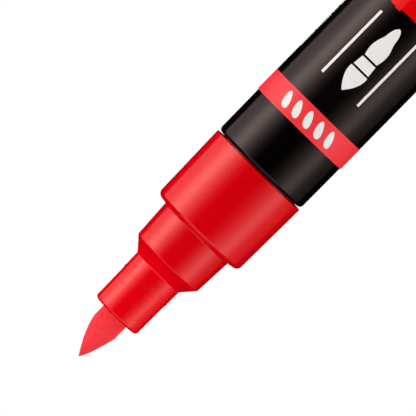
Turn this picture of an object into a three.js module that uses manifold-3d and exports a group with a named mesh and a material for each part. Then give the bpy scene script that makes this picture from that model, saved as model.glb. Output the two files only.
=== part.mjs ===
// A valve-action brush pen with its cap posted on the tail. It stands on the cap's closed end, brush up.
// Millimetres. +Z runs up the pen's axis to the brush, and the origin is the centre of the cap's end face.
//
// Pressing the brush slides the tuft, its holder, the feeder and the valve stem down together, against
// the valve spring. The stem's cone then leaves the gasket, and paint flows from the barrel to the brush.

import * as THREE from "three";
import { mergeVertices } from "three/addons/utils/BufferGeometryUtils.js";
import Module from "manifold-3d";

const wasm = await Module();
wasm.setup();

// ---- Driving dimensions ----

const SIDES = 24; // facets round every turned piece
const FILLET_STEPS = 2;
const FIT = 0.05; // radial gap between two turned pieces that fit together
const REST = 0.1; // gap along the axis between two pieces that stand on each other

// Depths along the axis, measured back from the point of the brush.
const NOZZLE_FACE = 7.05;
const NOZZLE_SEAM = 12.55; // where the nozzle meets the front holder
const CONE_START = 15.2;
const CONE_END = 17.05;
const SHOULDER = 22.6; // the cap's mouth stops here when the pen is closed
const HOLDER_BACK = 34.1;
const BARREL_FRONT = 34.3;
const LABEL_FRONT = 41.75;
const LABEL_BACK = 111.85;
const BARREL_BACK = 118;
const TAIL_SHOULDER = 120.6; // the posted cap's mouth stops here
const TAIL_END = 126.4;
const HOLDER_SOCKET_END = 40.5; // how far the front holder reaches into the barrel
const PLUG_SKIRT = 112.5; // how far the tail plug reaches into the barrel

// Outside radii.
const TUFT_R = 2.08;
const NOZZLE_R = 3.68;
const NOZZLE_SEAM_R = 3.74;
const SEAM_BEAD_R = 3.81;
const TUBE_R = 3.78;
const CAP_SEAT_SMALL_R = 5.45; // the taper that the cap grips, in front or at the tail
const CAP_SEAT_LARGE_R = 5.74;
const COLLAR_FRONT_R = 7.32;
const COLLAR_BACK_R = 7.53;
const BARREL_R = 7.5;
const LABEL_R = 7.61;
const LABEL_THICKNESS = 0.12;
const TAIL_FLANGE_R = 7.2;

// The passage from the barrel to the brush.
const BARREL_BORE_R = 6.5;
const VALVE_BORE_R = 5.55;
const VALVE_BORE_FRONT = 24.2;
const CHAMBER_R = 4.4; // round the stem's front end
const CHAMBER_FRONT = 18.4;
const BRUSH_BORE_R = 2.72;
const SPIGOT_R = 3.1; // the back of the nozzle, pressed into the front holder
const SPIGOT_BACK = 17.5;
const LIP_R = TUFT_R + 0.15; // the nozzle's front lip keeps the brush holder in
const LIP_BACK = NOZZLE_FACE + 0.85;

// Brush unit.
const TUFT_ROOT = 13;
const BRUSH_HOLDER_BACK = 19.5;
const FEEDER_R = 1.25;

// Valve.
const VALVE_FRONT = 24.6;
const VALVE_BACK = 42;
const VALVE_MOUTH_R = 1.8;
const GASKET_FRONT = 26.1;
const GASKET_BACK = 27.1;
const GASKET_HOLE_R = 1.9;
const VALVE_INSIDE_R = 4.7;
const STEM_FRONT = 22.1;
const STEM_ROD_R = 1.0;
const STEM_HEAD_R = 3.0;
const STEM_HEAD_FRONT = 28.65;
const STEM_HEAD_BACK = 29.6;
const STEM_BOSS_R = 1.7; // centres the spring's front end
const STEM_BOSS_BACK = 30.6;
const STEM_BACK = 41.5;
const SPRING_R = 2.3; // to the middle of the wire
const SPRING_WIRE_R = 0.25;
const SPRING_TURNS = 6;
const CAGE_FRONT = 39;
const CAGE_BACK = 40.4;

// Tail plug and mixing balls.
const PLUG_FLOOR = 119;
const PLUG_INSIDE_R = 5.4;
const POCKET_R = 4.1;
const RIB_HALF = 0.45;
const BALL_R = 2.5;
const BALL_LANE = 2.6; // each ball's distance from the axis, so that the two can pass

// Cap.
const CAP_LENGTH = 38;
const CAP_MOUTH_R = 7.3;
const CAP_END_R = 6.85;
const CAP_INSIDE_MOUTH_R = 6.5;
const CAP_INSIDE_END_R = 6.05;
const CAP_END_WALL = 1.5;
const INNER_CAP_END = 11; // height of the inner cap's closed end
const INNER_CAP_WALL = 1.1;
const SOCKET_DEPTH = 6.1; // the part of the inner cap that grips the pen's taper
const SEAT_DEPTH = 7.6; // and the cone below it, which seals
const VENT_COUNT = 4;
const VENT_R = 0.9;
const VENT_CIRCLE_R = 4;

const TIP_Z = CAP_LENGTH + 1.5 * REST + TAIL_SHOULDER;
const heightOf = (depth) => TIP_Z - depth;

// ---- Materials ----

const plastic = (color, roughness) =>
  new THREE.MeshStandardMaterial({ color, roughness, metalness: 0 });
const steel = (roughness) =>
  new THREE.MeshStandardMaterial({ color: 0xb9bcc2, roughness, metalness: 1 });

const materials = {
  red: plastic(0xd40a12, 0.3),
  black: plastic(0x141213, 0.32),
  film: plastic(0x19151a, 0.38),
  tuft: plastic(0xf23c46, 0.75),
  felt: plastic(0xd8434a, 0.9),
  natural: plastic(0xe6e4dc, 0.45),
  rubber: plastic(0x2c2c2e, 0.8),
  spring: steel(0.35),
  ball: steel(0.15),
};

// ---- Helpers ----

// Points of an outline whose corners may be rounded. Each corner is [radius, height, fillet].
function outline(corners) {
  const points = [];
  corners.forEach(([r, z, fillet = 0], i) => {
    const corner = new THREE.Vector2(r, z);
    if (!fillet) {
      points.push(corner);
      return;
    }
    const towards = (other) =>
      new THREE.Vector2(other[0], other[1]).sub(corner).normalize();
    const before = towards(corners[i - 1]);
    const after = towards(corners[i + 1]);
    const half = before.angleTo(after) / 2;
    const start = corner.clone().addScaledVector(before, fillet / Math.tan(half));
    const end = corner.clone().addScaledVector(after, fillet / Math.tan(half));
    const centre = corner
      .clone()
      .addScaledVector(before.clone().add(after).normalize(), fillet / Math.sin(half));
    const from = start.clone().sub(centre).angle();
    let sweep = end.clone().sub(centre).angle() - from;
    if (sweep > Math.PI) sweep -= 2 * Math.PI;
    if (sweep < -Math.PI) sweep += 2 * Math.PI;
    for (let k = 0; k <= FILLET_STEPS; k++) {
      const a = from + (sweep * k) / FILLET_STEPS;
      points.push(
        new THREE.Vector2(Math.cos(a), Math.sin(a)).multiplyScalar(fillet).add(centre),
      );
    }
  });
  return points;
}

// A solid of revolution about Z. The corners run up the outside and down the inside. A solid with no hole
// starts and ends on the axis.
function turned(corners) {
  const points = outline(corners);
  const onAxis = points[0].x === 0 && points.at(-1).x === 0;
  if (!onAxis) points.push(points[0].clone());
  return new THREE.LatheGeometry(points, SIDES).rotateX(Math.PI / 2);
}

// The same, for corners given as [radius, depth behind the brush point, fillet] from back to front.
const turnedAtDepth = (corners) =>
  turned(corners.map(([r, depth, fillet]) => [r, heightOf(depth), fillet]));

function solidOf(geometry) {
  const bare = geometry.clone();
  bare.deleteAttribute("normal");
  bare.deleteAttribute("uv");
  const merged = mergeVertices(bare, 1e-4);
  return new wasm.Manifold(
    new wasm.Mesh({
      numProp: 3,
      vertProperties: merged.attributes.position.array,
      triVerts: new Uint32Array(merged.index.array),
    }),
  );
}

function geometryOf(solid) {
  const mesh = solid.getMesh();
  return new THREE.BufferGeometry()
    .setAttribute("position", new THREE.BufferAttribute(mesh.vertProperties, 3))
    .setIndex(new THREE.BufferAttribute(mesh.triVerts, 1));
}

// The geometry with every cutter taken away.
function cut(geometry, cutters) {
  const whole = solidOf(geometry);
  return geometryOf(
    cutters.reduce((left, cutter) => left.subtract(solidOf(cutter)), whole),
  );
}

// A flat sector between two radii and two angles, from height low to height high.
function sector(innerR, outerR, startAngle, endAngle, low, high) {
  const shape = new THREE.Shape();
  shape.absarc(0, 0, outerR, startAngle, endAngle, false);
  shape.absarc(0, 0, innerR, endAngle, startAngle, true);
  shape.closePath();
  return new THREE.ExtrudeGeometry(shape, {
    depth: high - low,
    bevelEnabled: false,
    curveSegments: 8,
  }).translate(0, 0, low);
}

function piece(name, geometry, material) {
  const mesh = new THREE.Mesh(geometry, material);
  mesh.name = name;
  return mesh;
}

// ---- Cap ----

function capShell() {
  const shell = turned([
    [0, 0],
    [CAP_END_R, 0, 0.9],
    [CAP_MOUTH_R, CAP_LENGTH, 0.25],
    [CAP_INSIDE_MOUTH_R, CAP_LENGTH],
    [CAP_INSIDE_END_R, CAP_END_WALL],
    [0, CAP_END_WALL],
  ]);
  const vents = Array.from({ length: VENT_COUNT }, (_, i) => {
    const angle = (2 * Math.PI * (i + 0.5)) / VENT_COUNT;
    return new THREE.CylinderGeometry(VENT_R, VENT_R, 4 * CAP_END_WALL, 12)
      .rotateX(Math.PI / 2)
      .translate(VENT_CIRCLE_R * Math.cos(angle), VENT_CIRCLE_R * Math.sin(angle), 0);
  });
  return piece("cap_shell", cut(shell, vents), materials.red);
}

// The liner: a socket that grips the pen's taper, a conical seat that seals on its cone, and a chamber.
function innerCap() {
  const mouth = CAP_LENGTH - 2 * REST;
  const socketFloor = CAP_LENGTH - SOCKET_DEPTH;
  const chamberTop = CAP_LENGTH - SEAT_DEPTH;
  const chamberFloor = INNER_CAP_END + INNER_CAP_WALL;
  const chamberR = 4.45;
  const outsideR = chamberR + 0.85;
  return piece(
    "inner_cap",
    turned([
      [0, INNER_CAP_END],
      [outsideR, INNER_CAP_END, 0.6],
      [outsideR, chamberTop - INNER_CAP_WALL],
      [CAP_INSIDE_MOUTH_R - 3 * FIT, socketFloor],
      [CAP_INSIDE_MOUTH_R - FIT, mouth],
      [CAP_SEAT_LARGE_R + 2 * FIT, mouth],
      [CAP_SEAT_SMALL_R + 3 * FIT, socketFloor],
      [chamberR, chamberTop],
      [chamberR - 0.1, chamberFloor, 0.5],
      [0, chamberFloor],
    ]),
    materials.natural,
  );
}

// ---- Barrel group ----

function barrel() {
  const underLabelR = LABEL_R - LABEL_THICKNESS - FIT;
  return piece(
    "barrel",
    turnedAtDepth([
      [BARREL_BORE_R, BARREL_BACK],
      [BARREL_R, BARREL_BACK, 0.5],
      [BARREL_R, LABEL_BACK + FIT],
      [underLabelR, LABEL_BACK + FIT],
      [underLabelR, LABEL_FRONT - FIT],
      [BARREL_R, LABEL_FRONT - FIT],
      [BARREL_R - 0.03, BARREL_FRONT, 0.6],
      [BARREL_BORE_R, BARREL_FRONT],
    ]),
    materials.black,
  );
}

function labelFilm() {
  return piece(
    "label_film",
    turnedAtDepth([
      [LABEL_R - LABEL_THICKNESS, LABEL_BACK],
      [LABEL_R, LABEL_BACK],
      [LABEL_R, LABEL_FRONT],
      [LABEL_R - LABEL_THICKNESS, LABEL_FRONT],
    ]),
    materials.film,
  );
}

// The stepped front moulding: collar, cap seat, cone and the short tube that takes the nozzle.
function frontHolder() {
  return piece(
    "front_holder",
    turnedAtDepth([
      [VALVE_BORE_R, HOLDER_SOCKET_END],
      [BARREL_BORE_R - FIT, HOLDER_SOCKET_END, 0.3],
      [BARREL_BORE_R - FIT, HOLDER_BACK],
      [COLLAR_BACK_R, HOLDER_BACK],
      [COLLAR_FRONT_R, SHOULDER, 0.8],
      [CAP_SEAT_LARGE_R, SHOULDER, 0.3],
      [CAP_SEAT_SMALL_R, CONE_END, 0.3],
      [TUBE_R + 0.04, CONE_START, 0.4],
      [TUBE_R, NOZZLE_SEAM + 0.5],
      [SEAM_BEAD_R, NOZZLE_SEAM + 0.45],
      [SEAM_BEAD_R, NOZZLE_SEAM + FIT],
      [SPIGOT_R + FIT, NOZZLE_SEAM + FIT],
      [SPIGOT_R + FIT, SPIGOT_BACK + REST],
      [BRUSH_BORE_R + FIT, SPIGOT_BACK + REST],
      [BRUSH_BORE_R + FIT, CHAMBER_FRONT],
      [CHAMBER_R, CHAMBER_FRONT, 0.4],
      [CHAMBER_R, VALVE_BORE_FRONT],
      [VALVE_BORE_R, VALVE_BORE_FRONT],
    ]),
    materials.red,
  );
}

function nozzle() {
  return piece(
    "nozzle",
    turnedAtDepth([
      [BRUSH_BORE_R, SPIGOT_BACK],
      [SPIGOT_R, SPIGOT_BACK],
      [SPIGOT_R, NOZZLE_SEAM],
      [NOZZLE_SEAM_R, NOZZLE_SEAM],
      [NOZZLE_R, NOZZLE_FACE, 0.45],
      [LIP_R, NOZZLE_FACE],
      [LIP_R, LIP_BACK],
      [BRUSH_BORE_R, LIP_BACK],
    ]),
    materials.red,
  );
}

// A cup with a holed floor at its front. Its back flange stands on the end of the front holder's socket.
function valveBody() {
  return piece(
    "valve_body",
    turnedAtDepth([
      [VALVE_INSIDE_R, VALVE_BACK],
      [BARREL_BORE_R - 2 * FIT, VALVE_BACK],
      [BARREL_BORE_R - 2 * FIT, HOLDER_SOCKET_END + REST],
      [VALVE_BORE_R - FIT, HOLDER_SOCKET_END + REST],
      [VALVE_BORE_R - FIT, VALVE_FRONT, 0.4],
      [VALVE_MOUTH_R, VALVE_FRONT],
      [VALVE_MOUTH_R, GASKET_FRONT - FIT],
      [VALVE_INSIDE_R, GASKET_FRONT - FIT],
    ]),
    materials.natural,
  );
}

function seatGasket() {
  return piece(
    "seat_gasket",
    turnedAtDepth([
      [GASKET_HOLE_R, GASKET_BACK],
      [VALVE_INSIDE_R - FIT, GASKET_BACK],
      [VALVE_INSIDE_R - FIT, GASKET_FRONT],
      [GASKET_HOLE_R, GASKET_FRONT],
    ]),
    materials.rubber,
  );
}

// The ring and hub that hold the spring and guide the stem, with three windows for the paint.
function valveCage() {
  const windows = 3;
  const guideR = STEM_ROD_R + 0.25;
  const hubR = 2.9;
  const rimInsideR = 4.1;
  const spoke = 0.5; // radians
  const disc = turnedAtDepth([
    [guideR, CAGE_BACK],
    [VALVE_INSIDE_R - FIT, CAGE_BACK],
    [VALVE_INSIDE_R - FIT, CAGE_FRONT],
    [guideR, CAGE_FRONT],
  ]);
  const turn = (2 * Math.PI) / windows;
  const cutters = Array.from({ length: windows }, (_, i) =>
    sector(
      hubR,
      rimInsideR,
      i * turn + spoke / 2,
      (i + 1) * turn - spoke / 2,
      heightOf(CAGE_BACK) - 1,
      heightOf(CAGE_FRONT) + 1,
    ),
  );
  return piece("valve_cage", cut(disc, cutters), materials.natural);
}

// A compression spring between the stem's head and the cage. Its end turns lie closer together.
function valveSpring() {
  const low = heightOf(CAGE_FRONT) + SPRING_WIRE_R + FIT;
  const high = heightOf(STEM_HEAD_BACK) - SPRING_WIRE_R - FIT;
  class Coil extends THREE.Curve {
    getPoint(t, target = new THREE.Vector3()) {
      const angle = 2 * Math.PI * SPRING_TURNS * t;
      const eased = t - Math.sin(2 * Math.PI * t) / (2 * Math.PI) / 2;
      return target.set(
        SPRING_R * Math.cos(angle),
        SPRING_R * Math.sin(angle),
        low + (high - low) * eased,
      );
    }
  }
  const section = new THREE.Shape().absarc(0, 0, SPRING_WIRE_R, 0, 2 * Math.PI);
  return piece(
    "valve_spring",
    new THREE.ExtrudeGeometry(section, {
      steps: SPRING_TURNS * 12,
      curveSegments: 4,
      extrudePath: new Coil(),
    }),
    materials.spring,
  );
}

// A hollow skirt with a solid floor, a flange, and the taper that a posted cap grips. Four pockets,
// divided by crossed ribs, lighten the taper from the end.
function tailPlug() {
  const body = turnedAtDepth([
    [0, TAIL_END],
    [CAP_SEAT_SMALL_R, TAIL_END, 0.5],
    [CAP_SEAT_LARGE_R, TAIL_SHOULDER],
    [TAIL_FLANGE_R, TAIL_SHOULDER, 0.3],
    [TAIL_FLANGE_R, BARREL_BACK + REST],
    [BARREL_BORE_R - FIT, BARREL_BACK + REST],
    [BARREL_BORE_R - FIT, PLUG_SKIRT, 0.3],
    [PLUG_INSIDE_R, PLUG_SKIRT],
    [PLUG_INSIDE_R - 2 * FIT, PLUG_FLOOR, 0.4],
    [0, PLUG_FLOOR],
  ]);
  const lean = Math.asin(RIB_HALF / POCKET_R);
  const pockets = [0, 1, 2, 3].map((i) => {
    const shape = new THREE.Shape();
    shape.moveTo(RIB_HALF, RIB_HALF);
    shape.absarc(0, 0, POCKET_R, lean, Math.PI / 2 - lean, false);
    shape.closePath();
    return new THREE.ExtrudeGeometry(shape, {
      depth: 6,
      bevelEnabled: false,
      curveSegments: 6,
    })
      .rotateZ((i * Math.PI) / 2)
      .translate(0, 0, heightOf(TAIL_END) - 1);
  });
  return piece("tail_plug", cut(body, pockets), materials.red);
}

// ---- Brush unit: all of it slides together when the brush is pressed ----

// A round bundle of filaments that closes to a point a little off the axis. Its +X side is one full
// curve. Its -X side runs nearly straight from the point and meets the bundle at a slight corner.
function brushTuft() {
  const pointX = -0.25;
  const curveLength = 5.6;
  const flankLength = 4.9;
  const plusX = (depth) => {
    const left = Math.max(0, 1 - depth / curveLength);
    return pointX + (TUFT_R - pointX) * (1 - left ** 1.5);
  };
  const minusX = (depth) => {
    const share = Math.min(1, depth / flankLength);
    return pointX - (TUFT_R + pointX) * share ** 0.7;
  };
  const radius = (depth) => (plusX(depth) - minusX(depth)) / 2;
  const depths = [TUFT_ROOT, 6.4, 5.6, 5.2, 4.9, 4.4, 3.8, 3, 2.2, 1.5, 0.9, 0.4, 0.15];
  const profile = depths.map((depth) => [radius(depth), depth]);
  const bundle = turnedAtDepth([[0, TUFT_ROOT], ...profile, [0, 0]]);
  const position = bundle.attributes.position;
  for (let i = 0; i < position.count; i++) {
    const depth = Math.max(0, TIP_Z - position.getZ(i));
    const middle = (plusX(depth) + minusX(depth)) / 2;
    position.setX(i, position.getX(i) + middle);
  }
  return piece("brush_tuft", bundle, materials.tuft);
}

// The collar that grips the tuft's root and the feeder's front end, and slides in the nozzle.
function brushHolder() {
  const outsideR = BRUSH_BORE_R - 2 * FIT;
  return piece(
    "brush_holder",
    turnedAtDepth([
      [FEEDER_R + FIT, BRUSH_HOLDER_BACK],
      [outsideR, BRUSH_HOLDER_BACK, 0.3],
      [outsideR, LIP_BACK + REST],
      [TUFT_R + FIT, LIP_BACK + REST],
      [TUFT_R + FIT, TUFT_ROOT + REST],
      [FEEDER_R + FIT, TUFT_ROOT + REST],
    ]),
    materials.natural,
  );
}

function inkFeeder() {
  return piece(
    "ink_feeder",
    turnedAtDepth([
      [0, STEM_FRONT - REST],
      [FEEDER_R, STEM_FRONT - REST, 0.2],
      [FEEDER_R, TUFT_ROOT + 2 * REST, 0.3],
      [0, TUFT_ROOT + 2 * REST],
    ]),
    materials.felt,
  );
}

function valveStem() {
  return piece(
    "valve_stem",
    turnedAtDepth([
      [0, STEM_BACK],
      [STEM_ROD_R, STEM_BACK, 0.3],
      [STEM_ROD_R, STEM_BOSS_BACK + 0.3],
      [STEM_BOSS_R, STEM_BOSS_BACK],
      [STEM_BOSS_R, STEM_HEAD_BACK],
      [STEM_HEAD_R, STEM_HEAD_BACK],
      [STEM_HEAD_R, STEM_HEAD_FRONT],
      [STEM_ROD_R, GASKET_FRONT - REST],
      [STEM_ROD_R, STEM_FRONT, 0.2],
      [0, STEM_FRONT],
    ]),
    materials.natural,
  );
}

// ---- Mixing balls, at the bottom of the paint chamber ----

function mixingBalls() {
  return [1, -1].map((side, i) =>
    piece(
      `mixing_ball_${i + 1}`,
      new THREE.SphereGeometry(BALL_R, 16, 10)
        .rotateX(Math.PI / 2)
        .translate(side * BALL_LANE, 0, heightOf(PLUG_FLOOR) + BALL_R + REST),
      materials.ball,
    ),
  );
}

const pen = new THREE.Group();
pen.add(
  capShell(),
  innerCap(),
  barrel(),
  labelFilm(),
  frontHolder(),
  nozzle(),
  valveBody(),
  seatGasket(),
  valveCage(),
  valveSpring(),
  tailPlug(),
  brushTuft(),
  brushHolder(),
  inkFeeder(),
  valveStem(),
  ...mixingBalls(),
);

export default pen;
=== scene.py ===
"""A valve-action brush pen standing on its posted cap: turned parts, a filament tuft and a printed label.

Outlines and prints are in millimetres. The pen's axis is Z and its label's marks face -Y.
"""

import math
import random

import bmesh
import bpy
import numpy as np
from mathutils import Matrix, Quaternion, Vector


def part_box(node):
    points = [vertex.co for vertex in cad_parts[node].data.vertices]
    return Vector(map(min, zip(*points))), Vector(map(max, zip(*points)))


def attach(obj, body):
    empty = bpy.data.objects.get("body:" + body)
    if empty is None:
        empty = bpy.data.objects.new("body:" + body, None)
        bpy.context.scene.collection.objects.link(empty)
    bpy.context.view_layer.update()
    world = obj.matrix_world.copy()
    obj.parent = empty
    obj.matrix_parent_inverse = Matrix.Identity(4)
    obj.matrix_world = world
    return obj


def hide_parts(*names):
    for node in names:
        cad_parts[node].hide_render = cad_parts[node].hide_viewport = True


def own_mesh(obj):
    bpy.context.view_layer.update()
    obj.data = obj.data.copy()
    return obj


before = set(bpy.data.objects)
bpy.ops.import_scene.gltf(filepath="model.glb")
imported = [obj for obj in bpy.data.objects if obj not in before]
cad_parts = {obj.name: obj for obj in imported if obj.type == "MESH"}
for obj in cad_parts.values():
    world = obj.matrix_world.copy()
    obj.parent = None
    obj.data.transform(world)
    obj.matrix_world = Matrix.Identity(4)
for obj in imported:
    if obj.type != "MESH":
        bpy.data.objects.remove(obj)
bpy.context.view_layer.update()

MM = 0.001
SIDES = 144  # facets round a turned piece
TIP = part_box("brush_tuft")[1].z / MM  # height of the brush's point

# ---------------------------------------------------------------- shapes


def link(name, vertices, faces, smooth_angle=40):
    """A new mesh object from millimetre vertices, shaded smooth except at edges over smooth_angle."""
    mesh = bpy.data.meshes.new(name)
    mesh.from_pydata([(x * MM, y * MM, z * MM) for x, y, z in vertices], [], faces)
    tidy = bmesh.new()
    tidy.from_mesh(mesh)
    bmesh.ops.recalc_face_normals(tidy, faces=tidy.faces)
    tidy.to_mesh(mesh)
    tidy.free()
    mesh.shade_smooth()
    mesh.set_sharp_from_angle(angle=math.radians(smooth_angle))
    piece = bpy.data.objects.new(name, mesh)
    bpy.context.scene.collection.objects.link(piece)
    return piece


def fit(piece, body, material, slot, *nodes):
    """Gives a piece its material, makes it ride, and puts it in place of the CAD nodes; slot is not used.
    """
    piece.data.materials.append(material)
    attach(piece, body)
    if nodes:
        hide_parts(*nodes)
    return piece


def read_outline(node):
    """A turned CAD node's half section as (radius, height) points in order, and whether it is a loop."""
    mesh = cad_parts[node].data
    near = 1e-6
    links = {}
    for edge in mesh.edges:
        a, b = (mesh.vertices[i].co for i in edge.vertices)
        if max(abs(a.y), abs(b.y)) > near or min(a.x, b.x) < -near:
            continue
        ends = [(round(p.x / MM, 3), round(p.z / MM, 3)) for p in (a, b)]
        if ends[0] != ends[1]:
            links.setdefault(ends[0], set()).add(ends[1])
            links.setdefault(ends[1], set()).add(ends[0])
    on_axis = sorted(p for p in links if p[0] == 0)
    outline = [on_axis[0] if on_axis else min(links)]
    while True:
        onward = [p for p in sorted(links[outline[-1]]) if p not in outline]
        if not onward:
            break
        outline.append(onward[0])
    return [np.array(p, float) for p in outline], not on_axis


def turn_at(before, here, after):
    """How far an outline turns at a point, in degrees, with its sign."""
    a, b = here - before, after - here
    return math.degrees(math.atan2(a[0] * b[1] - a[1] * b[0], a @ b))


def arc(start, middle, end, steps):
    """Points on the circle through three points, from start to end."""
    a, b = middle - start, end - start
    d = 2 * (a[0] * b[1] - a[1] * b[0])
    aa, bb = a @ a, b @ b
    centre = start + np.array([b[1] * aa - a[1] * bb, a[0] * bb - b[0] * aa]) / d
    angles = [math.atan2(*(p - centre)[::-1]) for p in (start, middle, end)]
    sweep = math.remainder(angles[2] - angles[0], 2 * math.pi)
    radius = math.sqrt((start - centre) @ (start - centre))
    return [
        centre + radius * np.array([math.cos(t), math.sin(t)])
        for t in np.linspace(angles[0], angles[0] + sweep, steps + 1)
    ]


def refine(outline, closed, edge=0.04):
    """Makes the CAD outline's coarse fillets round, and breaks its sharp corners with a fine radius."""
    count = len(outline)

    def at(i):
        return outline[i % count] if closed else outline[min(max(i, 0), count - 1)]

    def turn(i):
        if not closed and not 0 < i < count - 1:
            return 0.0
        return turn_at(at(i - 1), at(i), at(i + 1))

    def is_fillet(i):
        sizes = [np.linalg.norm(at(i) - at(i - 1)), np.linalg.norm(at(i + 1) - at(i))]
        if abs(sizes[0] - sizes[1]) > 0.03 * max(sizes) or abs(turn(i)) < 5:
            return False
        return all(abs(turn(k) - turn(i) / 2) < 2 for k in (i - 1, i + 1))

    fillets = {i for i in range(count) if is_fillet(i)}
    ends = {(i + k) % count for i in fillets for k in (-1, 1)}
    fine = []
    for i in range(count):
        here = at(i)
        if i in fillets:
            fine += arc(at(i - 1), here, at(i + 1), 10)[1:-1]
            continue
        room = min(np.linalg.norm(here - at(i - 1)), np.linalg.norm(here - at(i + 1)))
        if i in ends or abs(turn(i)) < 25 or room < 2.5 * edge:
            fine.append(here)
            continue
        start = here + (at(i - 1) - here) / np.linalg.norm(at(i - 1) - here) * edge
        end = here + (at(i + 1) - here) / np.linalg.norm(at(i + 1) - here) * edge
        middle = (start + end) / 2 + (here - (start + end) / 2) * 0.42
        fine += arc(start, middle, end, 3)
    return fine


def turned(name, outline, closed):
    """A solid of revolution about Z. An open outline starts and ends on the axis."""
    angles = [2 * math.pi * k / SIDES for k in range(SIDES)]
    vertices, rings = [], []
    for r, z in outline:
        if r < 1e-6:
            rings.append([len(vertices)] * SIDES)
            vertices.append((0, 0, z))
        else:
            rings.append(list(range(len(vertices), len(vertices) + SIDES)))
            vertices += [(r * math.cos(a), r * math.sin(a), z) for a in angles]
    pairs = list(zip(rings, rings[1:])) + ([(rings[-1], rings[0])] if closed else [])
    faces = []
    for low, high in pairs:
        for k in range(SIDES):
            n = (k + 1) % SIDES
            corners = [low[k], low[n], high[n], high[k]]
            faces.append([c for i, c in enumerate(corners) if c not in corners[:i]])
    return link(name, vertices, faces)


def finely_turned(name, node):
    outline, closed = read_outline(node)
    return turned(name, refine(outline, closed), closed)


# ---------------------------------------------------------------- materials


class Shader:
    """A Principled material with short ways to add procedural nodes."""

    def __init__(self, name, **sockets):
        self.material = bpy.data.materials.new(name)
        self.material.use_nodes = True
        self.tree = self.material.node_tree
        self.surface = self.tree.nodes["Principled BSDF"]
        for socket, value in sockets.items():
            self.surface.inputs[socket.replace("_", " ")].default_value = value
        self.place = self.add("ShaderNodeTexCoord").outputs["Object"]

    def add(self, kind, **settings):
        node = self.tree.nodes.new(kind)
        for key, value in settings.items():
            setattr(node, key, value)
        return node

    def join(self, output, target):
        self.tree.links.new(output, target)

    def noise(self, size_mm, stretch=(1, 1, 1), detail=2):
        """A noise whose grains are size_mm across, drawn out by stretch."""
        mapping = self.add("ShaderNodeMapping")
        mapping.inputs["Scale"].default_value = [1 / (size_mm * MM * s) for s in stretch]
        self.join(self.place, mapping.inputs["Vector"])
        node = self.add("ShaderNodeTexNoise")
        node.inputs["Scale"].default_value = 1
        node.inputs["Detail"].default_value = detail
        self.join(mapping.outputs["Vector"], node.inputs["Vector"])
        return node.outputs["Fac"]

    def colour(self, factor, dark, light, low=0.3, high=0.7):
        """The base colour runs from dark to light as factor goes from low to high."""
        ramp = self.add("ShaderNodeValToRGB")
        ramp.color_ramp.elements[0].position = low
        ramp.color_ramp.elements[0].color = (*dark, 1)
        ramp.color_ramp.elements[1].position = high
        ramp.color_ramp.elements[1].color = (*light, 1)
        self.join(factor, ramp.inputs["Fac"])
        self.join(ramp.outputs["Color"], self.surface.inputs["Base Color"])

    def roughness(self, factor, low, high):
        span = self.add("ShaderNodeMapRange")
        span.inputs["From Min"].default_value = 0.3
        span.inputs["From Max"].default_value = 0.7
        span.inputs["To Min"].default_value = low
        span.inputs["To Max"].default_value = high
        self.join(factor, span.inputs["Value"])
        self.join(span.outputs["Result"], self.surface.inputs["Roughness"])

    def bump(self, factor, height_mm):
        node = self.add("ShaderNodeBump")
        node.inputs["Strength"].default_value = 1
        node.inputs["Distance"].default_value = height_mm * MM
        self.join(factor, node.inputs["Height"])
        self.join(node.outputs["Normal"], self.surface.inputs["Normal"])


# A clear coat over a faintly metallic body: crisp highlights, with a broad red glow round them.
RED_GLOSS = {
    "Metallic": 0.12,
    "Specular_IOR_Level": 0.0,
    "Coat_Weight": 1.0,
    "Coat_IOR": 1.6,
    "Coat_Roughness": 0.13,
}
# Over these depths the front red is painted lighter towards the tip, as painted light.
LIT_START, LIT_END = 20, 13  # depths behind the brush's point


def moulded_plastic(name, colour, roughness, spread=0.05, **sockets):
    """Injection-moulded plastic: faint flow lines along the part, uneven gloss and a very fine texture."""
    shader = Shader(name, **sockets)
    flow = shader.noise(0.8, stretch=(1, 1, 9))
    shader.colour(flow, [c * (1 - spread) for c in colour], [c * (1 + spread) for c in colour])
    shader.roughness(shader.noise(0.5), roughness - 0.03, roughness + 0.03)
    shader.bump(shader.noise(0.35), 0.001)
    return shader.material


def tip_lit_red(name, colour, lit_colour):
    """The red plastic with painted light: its colour grows lighter towards the tip, where more light falls.
    """
    shader = Shader(name, **RED_GLOSS)
    height = shader.add("ShaderNodeSeparateXYZ")
    shader.join(shader.place, height.inputs[0])
    along = shader.add("ShaderNodeMapRange", interpolation_type="SMOOTHSTEP")
    along.inputs["From Min"].default_value = (TIP - LIT_START) * MM
    along.inputs["From Max"].default_value = (TIP - LIT_END) * MM
    shader.join(height.outputs["Z"], along.inputs["Value"])
    # Flow streaks, plus the painted light that grows towards the tip.
    flow_and_tip_light = shader.add("ShaderNodeMath", operation="MULTIPLY_ADD")
    shader.join(shader.noise(0.8, stretch=(1, 1, 9)), flow_and_tip_light.inputs[0])
    flow_and_tip_light.inputs[1].default_value = 0.3
    shader.join(along.outputs["Result"], flow_and_tip_light.inputs[2])
    shader.colour(flow_and_tip_light.outputs["Value"], colour, lit_colour, low=0.0, high=1.3)
    shader.roughness(shader.noise(0.5), 0.47, 0.53)
    shader.bump(shader.noise(0.35), 0.001)
    return shader.material


def printed_ink(name, colour, roughness):
    """A dry ink film, slightly uneven in cover and gloss."""
    shader = Shader(name)
    shader.colour(shader.noise(0.25), [c * 0.96 for c in colour], colour)
    shader.roughness(shader.noise(0.4), roughness - 0.04, roughness + 0.04)
    shader.bump(shader.noise(0.15), 0.002)
    return shader.material


def film(name):
    """Glossy black printed film, with a faint mottle and the slight waves of a wrapped label."""
    shader = Shader(name)
    shader.colour(shader.noise(0.6), (0.0014, 0.0009, 0.001), (0.0022, 0.0014, 0.0016))
    shader.roughness(shader.noise(0.5), 0.12, 0.16)
    shader.bump(shader.noise(3, stretch=(1, 1, 3)), 0.006)
    return shader.material


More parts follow.
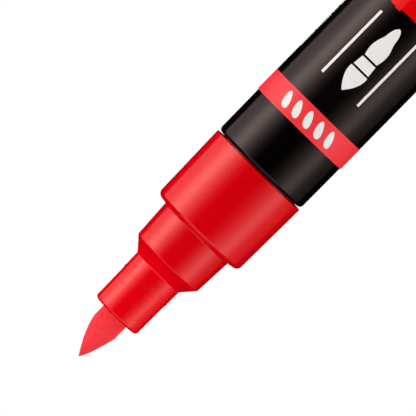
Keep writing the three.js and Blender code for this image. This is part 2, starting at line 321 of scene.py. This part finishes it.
def filaments(name):
    """Nylon filaments wet with paint, streaked along their length.

    The faint glow stands for the light that scatters through the translucent bundle.
    """
    sheen = {"Sheen_Weight": 0.9, "Sheen_Roughness": 0.6, "Sheen_Tint": (1, 0.15, 0.19, 1)}
    shader = Shader(name, Emission_Color=(1, 0, 0.01, 1), Emission_Strength=0.05, **sheen)
    streak = shader.noise(0.12, stretch=(1, 1, 14), detail=3)
    shader.colour(streak, (0.985, 0.02, 0.034), (1.0, 0.038, 0.054))
    shader.roughness(shader.noise(0.3), 0.5, 0.62)
    shader.bump(streak, 0.006)
    return shader.material


def felt(name):
    shader = Shader(name, Sheen_Weight=0.4)
    fibre = shader.noise(0.08, stretch=(1, 1, 10), detail=4)
    shader.colour(fibre, (0.5, 0.02, 0.03), (0.75, 0.06, 0.08))
    shader.roughness(shader.noise(0.2), 0.82, 0.95)
    shader.bump(fibre, 0.03)
    return shader.material


def drawn_steel(name, roughness):
    """Stainless steel with fine drawing lines."""
    shader = Shader(name, Metallic=1.0)
    lines = shader.noise(0.06, stretch=(1, 1, 6), detail=3)
    shader.colour(lines, (0.5, 0.51, 0.53), (0.66, 0.67, 0.69))
    shader.roughness(lines, roughness - 0.05, roughness + 0.08)
    shader.bump(lines, 0.001)
    return shader.material


def rubber(name):
    shader = Shader(name)
    grain = shader.noise(0.1, detail=3)
    shader.colour(grain, (0.018, 0.018, 0.02), (0.035, 0.035, 0.038))
    shader.roughness(shader.noise(0.3), 0.72, 0.85)
    shader.bump(grain, 0.01)
    return shader.material


def pale_floor(name):
    shader = Shader(name)
    shader.colour(shader.noise(60), (0.86, 0.86, 0.86), (0.9, 0.9, 0.9))
    shader.roughness(shader.noise(20), 0.75, 0.85)
    shader.bump(shader.noise(2), 0.02)
    return shader.material


RED = moulded_plastic("red_plastic", (0.76, 0.0002, 0.006), 0.5, **RED_GLOSS)
# Painted light: this red is painted lighter towards the tip.
TIP_LIT_RED = tip_lit_red("tip_lit_red_plastic", (0.76, 0.0002, 0.006), (0.94, 0.0003, 0.008))
BLACK = moulded_plastic("black_plastic", (0.0012, 0.0009, 0.0009), 0.13)
NATURAL = moulded_plastic("natural_plastic", (0.78, 0.77, 0.72), 0.45, spread=0.02)
FILM = film("printed_film")
WHITE_INK = printed_ink("white_ink", (0.95, 0.99, 1.0), 0.5)
BAND_INK = printed_ink("light_red_ink", (0.99, 0.036, 0.052), 0.42)
STROKE_INK = printed_ink("deep_red_ink", (0.84, 0.0004, 0.003), 0.17)
LIGHT_STROKE_INK = printed_ink("middle_red_ink", (0.95, 0.009, 0.016), 0.2)
BRISTLE = filaments("bristle")
FELT = felt("felt")
SPRING = drawn_steel("spring_steel", 0.3)
BALL = drawn_steel("ball_steel", 0.12)
RUBBER = rubber("seal_rubber")

# ---------------------------------------------------------------- camera, light and floor

VIEW_BACK = 25.85  # the picture's centre, measured back from the brush's point
VIEW_ASIDE = 1.25  # and from the pen's axis towards +X
VIEW_WIDTH = 54.86  # how much of the pen's plane the picture spans
VIEW_DISTANCE = 600
VIEW_FROM_BELOW = 2.5  # degrees
VIEW_ROLL = 135.5  # degrees: the pen points down to the left in the picture


def make_camera():
    camera = bpy.data.objects.new("camera", bpy.data.cameras.new("camera"))
    target = Vector((VIEW_ASIDE, 0, TIP - VIEW_BACK)) * MM
    lean = math.radians(VIEW_FROM_BELOW)
    back = Vector((0, -math.cos(lean), -math.sin(lean)))
    camera.location = target + back * VIEW_DISTANCE * MM
    upright = (-back).to_track_quat("-Z", "Y")
    camera.rotation_mode = "QUATERNION"
    camera.rotation_quaternion = upright @ Quaternion((0, 0, 1), math.radians(-VIEW_ROLL))
    camera.data.sensor_width = 36
    camera.data.lens = 36 * VIEW_DISTANCE / VIEW_WIDTH
    camera.data.clip_end = 10
    bpy.context.scene.collection.objects.link(camera)
    bpy.context.scene.camera = camera


# Lights are placed and sized in metres, and in degrees round the pen or up from level.
PANEL_DISTANCE = 0.5
PANEL_HEIGHT = 0.7
PANEL_INNER, PANEL_OUTER = 16, 126
FILL_DISTANCE = 0.6
FILL_SIZE = 0.5
FILL_RISE = 30
EDGE_RISE = 48
EDGE_WIDTH, EDGE_HEIGHT = 0.9, 0.55


def area_light(name, azimuth, elevation, distance, width, height, colour, radiance):
    """A flat light facing the pen's front part. Azimuth 0 is the camera's side, and 90 is +X."""
    light = bpy.data.lights.new(name, "AREA")
    light.shape = "RECTANGLE"
    light.size, light.size_y = width, height
    light.energy = radiance * math.pi * width * height
    light.color = colour
    lamp = bpy.data.objects.new(name, light)
    turn, rise = math.radians(azimuth), math.radians(elevation)
    outward = Vector((math.sin(turn) * math.cos(rise), -math.cos(turn) * math.cos(rise), math.sin(rise)))
    lamp.location = outward * distance + Vector((0, 0, TIP * 0.8)) * MM
    lamp.rotation_mode = "QUATERNION"
    lamp.rotation_quaternion = outward.to_track_quat("Z", "Y")
    lamp.visible_camera = False
    bpy.context.scene.collection.objects.link(lamp)
    return lamp


def light_panel(name, side, colour, radiances):
    """A tall soft panel beside the pen, with a sharp outer edge. side is 1 for +X and -1 for -X.

    radiances are evenly spaced across the panel, from its inner edge to its outer one.
    """
    middle, half = (PANEL_INNER + PANEL_OUTER) / 2, (PANEL_OUTER - PANEL_INNER) / 2
    width = 2 * PANEL_DISTANCE * math.tan(math.radians(half))
    peak = max(radiances)
    panel = area_light(name, side * middle, 0, PANEL_DISTANCE, width, PANEL_HEIGHT, colour, peak)
    panel.data.use_nodes = True
    tree = panel.data.node_tree
    across = tree.nodes.new("ShaderNodeSeparateXYZ")
    tree.links.new(tree.nodes.new("ShaderNodeNewGeometry").outputs["Parametric"], across.inputs[0])
    ramp = tree.nodes.new("ShaderNodeValToRGB")
    stops = ramp.color_ramp.elements
    ramp.color_ramp.interpolation = "CARDINAL"
    for k, radiance in enumerate(radiances[::side]):
        at = k / (len(radiances) - 1)
        stop = stops[0] if k == 0 else stops[-1] if at == 1 else stops.new(at)
        stop.color = (radiance / peak, radiance / peak, radiance / peak, 1)
    tree.links.new(across.outputs["X"], ramp.inputs["Fac"])
    tree.links.new(ramp.outputs["Color"], tree.nodes["Emission"].inputs["Color"])


def fill_lights():
    """Three broad lights round the pen from above, which shiny surfaces don't mirror."""
    for name, azimuth, radiance in [
        ("left_fill", 62, 2.2),
        ("right_fill", -62, 2.8),
        ("back_fill", 180, 2.8),
    ]:
        size = FILL_SIZE
        lamp = area_light(name, azimuth, FILL_RISE, FILL_DISTANCE, size, size, (1, 1, 1), radiance)
        lamp.visible_glossy = False


def edge_light():
    """A dim light above the camera, which only fillets and edges that face the point mirror."""
    size = (EDGE_WIDTH, EDGE_HEIGHT)
    lamp = area_light("edge_light", 0, EDGE_RISE, PANEL_DISTANCE, *size, (1, 0.8, 0.78), 0.5)
    lamp.visible_diffuse = False


def make_world():
    """White where the camera looks past the pen, and black for everything else."""
    world = bpy.data.worlds.new("studio")
    world.use_nodes = True
    tree = world.node_tree
    background = tree.nodes["Background"]
    background.inputs["Color"].default_value = (1, 1, 1, 1)
    path = tree.nodes.new("ShaderNodeLightPath")
    tree.links.new(path.outputs["Is Camera Ray"], background.inputs["Strength"])
    bpy.context.scene.world = world


FLOOR_RADIUS = 430
FLOOR_SIDES = 96


def make_floor():
    angles = [2 * math.pi * k / FLOOR_SIDES for k in range(FLOOR_SIDES)]
    rim = [(FLOOR_RADIUS * math.cos(a), FLOOR_RADIUS * math.sin(a), 0) for a in angles]
    floor = link("floor", rim, [list(range(FLOOR_SIDES))])
    floor.data.materials.append(pale_floor("pale_floor"))
    floor.visible_glossy = False


make_camera()
make_world()
make_floor()
fill_lights()
edge_light()
light_panel("left_light", 1, (1, 0.79, 0.73), (0, 0.08, 0.36, 1.3, 2.85, 1.45, 0.85, 0.68, 0.6))
light_panel("right_light", -1, (1, 0.75, 0.69), (0, 0.08, 0.22, 0.66, 1.3, 0.5, 0.22, 0.12, 0.1))
bpy.context.scene.view_settings.view_transform = "Standard"

# ---------------------------------------------------------------- turned pieces

for node, body, material, slot in [
    ("barrel", "pen_barrel", BLACK, "black_plastic"),
    ("label_film", "pen_barrel", FILM, "printed_film"),
    ("front_holder", "pen_barrel", TIP_LIT_RED, "red_plastic"),
    ("valve_body", "pen_barrel", NATURAL, "natural_plastic"),
    ("seat_gasket", "pen_barrel", RUBBER, "seal_rubber"),
    ("inner_cap", "cap", NATURAL, "natural_plastic"),
    ("brush_holder", "brush", NATURAL, "natural_plastic"),
    ("ink_feeder", "brush", FELT, "felt"),
    ("valve_stem", "valve", NATURAL, "natural_plastic"),
]:
    fit(finely_turned(f"{node}_fine", node), body, material, slot, node)


def cut_away(piece, cutters):
    """Cuts closed meshes out of a piece and removes them."""
    for cutter in cutters:
        modifier = piece.modifiers.new("cut", "BOOLEAN")
        modifier.operation = "DIFFERENCE"
        modifier.solver = "EXACT"
        modifier.object = cutter
    shapes = bpy.context.evaluated_depsgraph_get()
    mesh = bpy.data.meshes.new_from_object(piece.evaluated_get(shapes))
    piece.modifiers.clear()
    piece.data = mesh
    mesh.name = piece.name
    for cutter in cutters:
        bpy.data.objects.remove(cutter)
    mesh.shade_smooth()
    mesh.set_sharp_from_angle(angle=math.radians(40))
    return piece


def prism(name, outline, low, high):
    """A closed upright prism over a plan outline."""
    count = len(outline)
    vertices = [(x, y, low) for x, y in outline] + [(x, y, high) for x, y in outline]
    sides = [[k, (k + 1) % count, count + (k + 1) % count, count + k] for k in range(count)]
    return link(name, vertices, [list(range(count)), list(range(count, 2 * count)), *sides])


def ring_points(radius, start, end, count, x=0, y=0):
    """Points along a plan arc about (x, y), with angles in degrees."""
    angles = [math.radians(start + (end - start) * k / (count - 1)) for k in range(count)]
    return [(x + radius * math.cos(a), y + radius * math.sin(a)) for a in angles]


NOZZLE_SEAM_GAP = 0.01
NOZZLE_LIP = 0.6  # this much of the nozzle's front end is shifted back by LIP_SHIFT
LIP_SHIFT = 0.13


def nozzle():
    """The nozzle, drawn back at its seam until it all but meets the front holder, and at its lip."""
    outline, closed = read_outline("nozzle")
    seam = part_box("front_holder")[1].z / MM
    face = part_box("nozzle")[1].z / MM
    for point in outline:
        if 0 < point[1] - seam < 0.1:
            point[1] = seam + NOZZLE_SEAM_GAP
        if point[1] > face - NOZZLE_LIP:
            point[1] -= LIP_SHIFT
    return turned("nozzle_fine", refine(outline, closed, edge=0.02), closed)


# The holes' places and sizes are the CAD part's own.
VENT_R, VENT_CIRCLE_R = 0.9, 4.0
POCKET_R, RIB_HALF = 4.1, 0.45
POCKET_DEPTH = 5
WINDOW_IN, WINDOW_OUT = 2.9, 4.1
SPOKE = 28.65  # degrees between two windows
PAST = 1  # cutters reach this far out of the piece that they cut


def cap_shell():
    """The cap, with four vent holes round the middle of its end."""
    cutters = []
    for k in range(4):
        turn = math.radians(45 + 90 * k)
        x, y = VENT_CIRCLE_R * math.cos(turn), VENT_CIRCLE_R * math.sin(turn)
        cutters.append(prism("vent", ring_points(VENT_R, 0, 345, 24, x, y), -PAST, 3))
    return cut_away(finely_turned("cap_shell_fine", "cap_shell"), cutters)


def tail_plug():
    """The plug, lightened from its end by four pockets with crossed ribs between them."""
    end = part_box("tail_plug")[0].z / MM
    lean = math.degrees(math.asin(RIB_HALF / POCKET_R))
    cutters = []
    for k in range(4):
        corner = [(RIB_HALF, RIB_HALF), *ring_points(POCKET_R, lean, 90 - lean, 16)]
        turn = math.radians(90 * k)
        plan = [
            (x * math.cos(turn) - y * math.sin(turn), x * math.sin(turn) + y * math.cos(turn))
            for x, y in corner
        ]
        cutters.append(prism("pocket", plan, end - PAST, end + POCKET_DEPTH))
    return cut_away(finely_turned("tail_plug_fine", "tail_plug"), cutters)


def valve_cage():
    """The spring's ring, with three windows between its hub and its rim."""
    low, high = (corner.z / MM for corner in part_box("valve_cage"))
    cutters = []
    for k in range(3):
        start, end = 120 * k + SPOKE / 2, 120 * (k + 1) - SPOKE / 2
        plan = ring_points(WINDOW_OUT, start, end, 20) + ring_points(WINDOW_IN, end, start, 20)
        cutters.append(prism("window", plan, low - PAST, high + PAST))
    return cut_away(finely_turned("valve_cage_fine", "valve_cage"), cutters)


fit(nozzle(), "pen_barrel", TIP_LIT_RED, "red_plastic", "nozzle")
fit(cap_shell(), "cap", RED, "red_plastic", "cap_shell")
fit(tail_plug(), "pen_barrel", RED, "red_plastic", "tail_plug")
fit(valve_cage(), "pen_barrel", NATURAL, "natural_plastic", "valve_cage")

# ---------------------------------------------------------------- spring and balls


def ring_faces(rings, sides):
    """Faces between neighbouring rings of vertices, with the same number of sides in each ring."""
    faces = []
    for i in range(rings - 1):
        for k in range(sides):
            n = (k + 1) % sides
            faces.append([i * sides + k, i * sides + n, (i + 1) * sides + n, (i + 1) * sides + k])
    return faces


def tube(path, radii, sides, normals):
    """A closed tube's vertices and faces. normals are directions square to the path, one for each point."""
    vertices = []
    count = len(path)
    for i, (p, r, n) in enumerate(zip(path, radii, normals)):
        along = (path[min(i + 1, count - 1)] - path[max(i - 1, 0)]).normalized()
        across = along.cross(n)
        for k in range(sides):
            a = 2 * math.pi * k / sides
            vertices.append(p + (n * math.cos(a) + across * math.sin(a)) * r)
    faces = ring_faces(count, sides)
    faces.append(list(range(sides)))
    faces.append([(count - 1) * sides + k for k in range(sides)])
    return vertices, faces


SPRING_TURNS = 6
STEPS_PER_TURN = 40
WIRE_R = 0.25


def valve_spring():
    """The coil between the cage and the stem's head, with its end turns closer together."""
    low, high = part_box("valve_spring")
    coil_r = high.x / MM - WIRE_R
    bottom, top = low.z / MM + WIRE_R, high.z / MM - WIRE_R
    path, normals = [], []
    steps = SPRING_TURNS * STEPS_PER_TURN
    for k in range(steps + 1):
        t = k / steps
        a = 2 * math.pi * SPRING_TURNS * t
        outward = Vector((math.cos(a), math.sin(a), 0))
        rise = t - math.sin(2 * math.pi * t) / (4 * math.pi)
        path.append(outward * coil_r + Vector((0, 0, bottom + (top - bottom) * rise)))
        normals.append(outward)
    radii = [WIRE_R] * len(path)
    coil = link("valve_spring_fine", *tube(path, radii, 12, normals))
    fit(coil, "pen_barrel", SPRING, "spring_steel", "valve_spring")
    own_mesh(coil)


def mixing_ball(node, body):
    """A ball with even facets, from a subdivided cube blown up to a sphere."""
    low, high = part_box(node)
    middle, radius = (low + high) / 2, (high.z - low.z) / 2
    ball = bpy.data.objects.new(f"{node}_fine", bpy.data.meshes.new(f"{node}_fine"))
    shape = bmesh.new()
    bmesh.ops.create_cube(shape, size=2)
    bmesh.ops.subdivide_edges(shape, edges=shape.edges, cuts=15, use_grid_fill=True)
    for vertex in shape.verts:
        vertex.co = middle + vertex.co.normalized() * radius
    shape.to_mesh(ball.data)
    shape.free()
    ball.data.shade_smooth()
    bpy.context.scene.collection.objects.link(ball)
    fit(ball, body, BALL, "ball_steel", node)


valve_spring()
mixing_ball("mixing_ball_1", "ball_1")
mixing_ball("mixing_ball_2", "ball_2")

# ---------------------------------------------------------------- brush

TUFT_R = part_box("brush_tuft")[1].x / MM
POINT = TIP + 0.12  # the filaments' own point stands a hair over the CAD solid's
ROOT_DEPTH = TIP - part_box("brush_tuft")[0].z / MM
POINT_X = -0.25
CURVE_LENGTH = 5.6  # the +X side closes over this depth, in one full curve
FLANK_LENGTH = 4.9  # the -X side closes over this, nearly straight
TUFT_RINGS = 40
CORE_SIDES = 72
FILAMENTS = 190
FILAMENT_R = 0.055


def tuft_section(depth):
    """The middle in X and the radius of the tuft's round section, at a depth behind its point."""
    left = max(0.0, 1 - depth / CURVE_LENGTH)
    full = POINT_X + (TUFT_R - POINT_X) * (1 - left**1.5)
    share = min(1.0, depth / FLANK_LENGTH)
    flank = POINT_X - (TUFT_R + POINT_X) * share**0.7
    return (full + flank) / 2, (full - flank) / 2


def tuft_depths(first):
    """Depths from first to the root, close together near the point."""
    return [first + (ROOT_DEPTH - first) * (k / TUFT_RINGS) ** 1.8 for k in range(TUFT_RINGS + 1)]


def brush_core():
    """The solid heart of the wet tuft, just under its outer filaments."""
    angles = [2 * math.pi * k / CORE_SIDES for k in range(CORE_SIDES)]
    rings = []
    for depth in tuft_depths(0.03):
        x, r = tuft_section(depth)
        r -= 0.4 * FILAMENT_R * min(1.0, r / 0.5)
        rings.append([Vector((x + r * math.cos(a), r * math.sin(a), POINT - depth)) for a in angles])
    vertices = [v for ring in rings for v in ring] + [Vector((POINT_X, 0, POINT))]
    faces = ring_faces(len(rings), CORE_SIDES)
    faces += [[k, (k + 1) % CORE_SIDES, len(vertices) - 1] for k in range(CORE_SIDES)]
    faces.append([(len(rings) - 1) * CORE_SIDES + k for k in range(CORE_SIDES)])
    fit(link("brush_core", vertices, faces), "brush", BRISTLE, "bristle", "brush_tuft")


def filament_path(angle, first, drift):
    """Points and outward directions of one outer filament, from its free end to the root."""
    path, outwards = [], []
    for depth in tuft_depths(first):
        x, r = tuft_section(depth)
        r = max(0.3 * r, r - FILAMENT_R)
        a = angle + drift * math.sin(depth * 0.55)
        outward = Vector((math.cos(a), math.sin(a), 0))
        path.append(Vector((x, 0, POINT - depth)) + outward * r)
        outwards.append(outward)
    return path, outwards


def outer_filaments():
    """One layer of fine filaments over the core. Fewer and fewer of them reach on towards the point."""
    draw = random.Random(7)
    vertices, faces = [], []
    reach = [(k + 0.5) / FILAMENTS for k in range(FILAMENTS)]
    draw.shuffle(reach)
    depths = [0.02 + k * 0.01 for k in range(600)]
    for k in range(FILAMENTS):
        angle = 2 * math.pi * (k + draw.uniform(-0.25, 0.25)) / FILAMENTS
        first = next(d for d in depths if tuft_section(d)[1] >= TUFT_R * reach[k] * 0.97)
        path, outwards = filament_path(angle, first, draw.uniform(-0.012, 0.012))
        thick = FILAMENT_R * draw.uniform(0.9, 1.0)
        radii = [thick * min(1.0, 0.12 + (p - path[0]).length / 0.8) for p in path]
        path = [p + o * (FILAMENT_R - r) for p, o, r in zip(path, outwards, radii)]
        start = len(vertices)
        corners, sides = tube(path, radii, 6, outwards)
        vertices += corners
        faces += [[start + c for c in face] for face in sides]
    fit(link("brush_filaments", vertices, faces, 80), "brush", BRISTLE, "bristle", "brush_tuft")


brush_core()
outer_filaments()

# ---------------------------------------------------------------- printed marks on the label

LABEL_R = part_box("label_film")[1].x / MM
LABEL_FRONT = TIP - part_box("label_film")[1].z / MM
LABEL_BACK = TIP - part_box("label_film")[0].z / MM
BAND_BACK = LABEL_FRONT + 3.58
INK = 0.02  # how thick a printed layer is
SUNK = 0.006  # how far its underside lies below the surface it is printed on


def wrapped(name, ribbons, material, base=LABEL_R, thickness=INK):
    """A printed mark as thin closed layers round the label.

    Each ribbon is a list of (depth, middle, half_width) rows. Middles and widths run round the label, and
    middle 0 faces -Y.
    """
    vertices, faces = [], []
    for rows in ribbons:
        widest = max(half for _, _, half in rows)
        across = max(1, math.ceil(2 * widest / (base * math.radians(2.5))))
        start = len(vertices)
        for radius in (base - SUNK, base + thickness):
            for depth, middle, half in rows:
                for k in range(across + 1):
                    a = (middle + half * (2 * k / across - 1)) / base
                    vertices.append((radius * math.sin(a), -radius * math.cos(a), TIP - depth))
        size = across + 1
        layer = len(rows) * size
        rim = list(range(size))
        rim += [row * size + across for row in range(1, len(rows))]
        rim += [(len(rows) - 1) * size + k for k in range(across - 1, -1, -1)]
        rim += [row * size for row in range(len(rows) - 2, 0, -1)]
        for row in range(len(rows) - 1):
            for k in range(across):
                near, far = row * size + k, (row + 1) * size + k
                corners = [near, near + 1, far + 1, far]
                faces.append([start + c for c in corners])
                faces.append([start + layer + c for c in corners])
        for a, b in zip(rim, rim[1:] + rim[:1]):
            faces.append([start + a, start + b, start + layer + b, start + layer + a])
    piece = link(name, vertices, faces, 30)
    return fit(piece, "pen_barrel", material, "printed_film")


def ring_layer(name, front, back, material):
    """A printed band all the way round."""
    inside, outside = LABEL_R - SUNK, LABEL_R + INK
    outline = [(inside, TIP - front), (outside, TIP - front), (outside, TIP - back), (inside, TIP - back)]
    return fit(turned(name, outline, True), "pen_barrel", material, "printed_film")


def leaf(depth, middle, length, width, slant, steps=14):
    """A brush dab: round at its front end, tapering to a point at its back end."""
    rows = []
    for k in range(steps + 1):
        t = k / steps
        half = width / 2 * math.sqrt(max(0.0, math.sin(math.pi * t**0.72)))
        rows.append((depth + length * t, middle + slant * (t - 0.5), max(half, 0.03)))
    return rows


def band_dabs():
    """Five dabs in a row on the red band."""
    height = 2.4
    front = (LABEL_FRONT + BAND_BACK - height) / 2
    dabs = [leaf(front, -4.0 + 2.0 * k, height, 1.15, 0.7) for k in range(5)]
    return wrapped("band_dabs", dabs, WHITE_INK, base=LABEL_R + INK)


LINES_FRONT, LINES_BACK = 49.25, 60.32
LINE_ASIDE = 3.32
EMBLEM_MIDDLE = -0.35


def rule_lines():
    """Two fine white lines along the pen, one on each side of the emblem."""
    rows = [[(d, side * LINE_ASIDE - 0.12, 0.195) for d in (LINES_FRONT, LINES_BACK)] for side in (-1, 1)]
    return wrapped("rule_lines", rows, WHITE_INK)


def brush_emblem():
    """A plain picture of a paint brush: its tuft in front, then a ferrule and a handle."""
    front = LINES_FRONT + 0.1
    tuft = []
    for k in range(17):
        t = k / 16
        tuft.append((front + 3.3 * t, EMBLEM_MIDDLE, 0.03 + 1.42 * math.sin(math.pi * 0.56 * t) ** 0.9))
    ferrule = [(front + 3.6 + 1.5 * t, EMBLEM_MIDDLE, 1.32 - 0.16 * t) for t in (0, 0.5, 1)]
    handle = []
    for k in range(21):
        t = k / 20
        half = 1.08 + 0.34 * math.sin(math.pi * min(1.0, t * 1.6)) - 0.4 * t
        handle.append((front + 5.4 + 5.45 * t, EMBLEM_MIDDLE, half * math.sqrt(max(0.02, 1 - t**7))))
    return wrapped("brush_emblem", [tuft, ferrule, handle], WHITE_INK)


STROKE_FRONT = 62.22
STROKE_BACK = 100
STROKE_RIBBONS = 9
RIBBON_WIDTH = 0.86
LIGHT_RIBBON = 6  # this ribbon and those on its +X side are of the lighter paint


def stroke_ribbon(k, draw):
    """One ribbon of the paint stroke, which narrows and wavers towards its back end."""
    middle = (k - (STROKE_RIBBONS - 1) / 2) * RIBBON_WIDTH + 0.12
    front = STROKE_FRONT + draw.uniform(0, 0.05)
    if k >= LIGHT_RIBBON:
        front -= 0.36 - 0.13 * (k - LIGHT_RIBBON)
    back = STROKE_BACK - draw.uniform(0, 14)
    rows = []
    for i in range(41):
        t = i / 40
        fray = max(0.0, (t - 0.45) / 0.55)
        half = RIBBON_WIDTH * (0.515 - 0.3 * fray**1.5) * math.sqrt(max(0.003, 1 - fray**6))
        rows.append((front + (back - front) * t, middle + 0.06 * math.sin(9 * t + k) * fray, half))
    return rows


def paint_stroke():
    """A broad stroke of two reds along the label, drawn with a dry brush: it frays into ribbons."""
    draw = random.Random(11)
    ribbons = [stroke_ribbon(k, draw) for k in range(STROKE_RIBBONS)]
    wrapped("stroke_deep", ribbons[:LIGHT_RIBBON], STROKE_INK)
    wrapped("stroke_light", ribbons[LIGHT_RIBBON:], LIGHT_STROKE_INK)


def tick_rows():
    """Rows of fine white ticks in groups, on the label's +X side."""
    draw = random.Random(5)
    ticks = []
    for row in range(4):
        middle = LABEL_R * math.radians(82 + 7 * row)
        depth = LABEL_FRONT + 8
        end = LABEL_BACK - 6 - draw.uniform(0, 14)
        while depth < end:
            for _ in range(draw.randint(3, 9)):
                half = draw.choice([0.22, 0.3, 0.3])
                ticks.append([(depth, middle, half), (depth + 0.16, middle, half)])
                depth += 0.34
            depth += 0.35
    return wrapped("tick_rows", ticks, WHITE_INK)


def label_overlap():
    """The film's own end, lapped over its start along the back of the barrel."""
    lap = 0.06
    turn = math.pi * LABEL_R
    for name, front, back, material in [
        ("overlap_band", LABEL_FRONT, BAND_BACK, BAND_INK),
        ("overlap_film", BAND_BACK, LABEL_BACK, FILM),
    ]:
        rows = [(front, turn, 1.6), (back, turn, 1.6)]
        wrapped(name, [rows], material, thickness=lap)


ring_layer("red_band", LABEL_FRONT, BAND_BACK, BAND_INK)
band_dabs()
rule_lines()
brush_emblem()
paint_stroke()
tick_rows()
label_overlap()
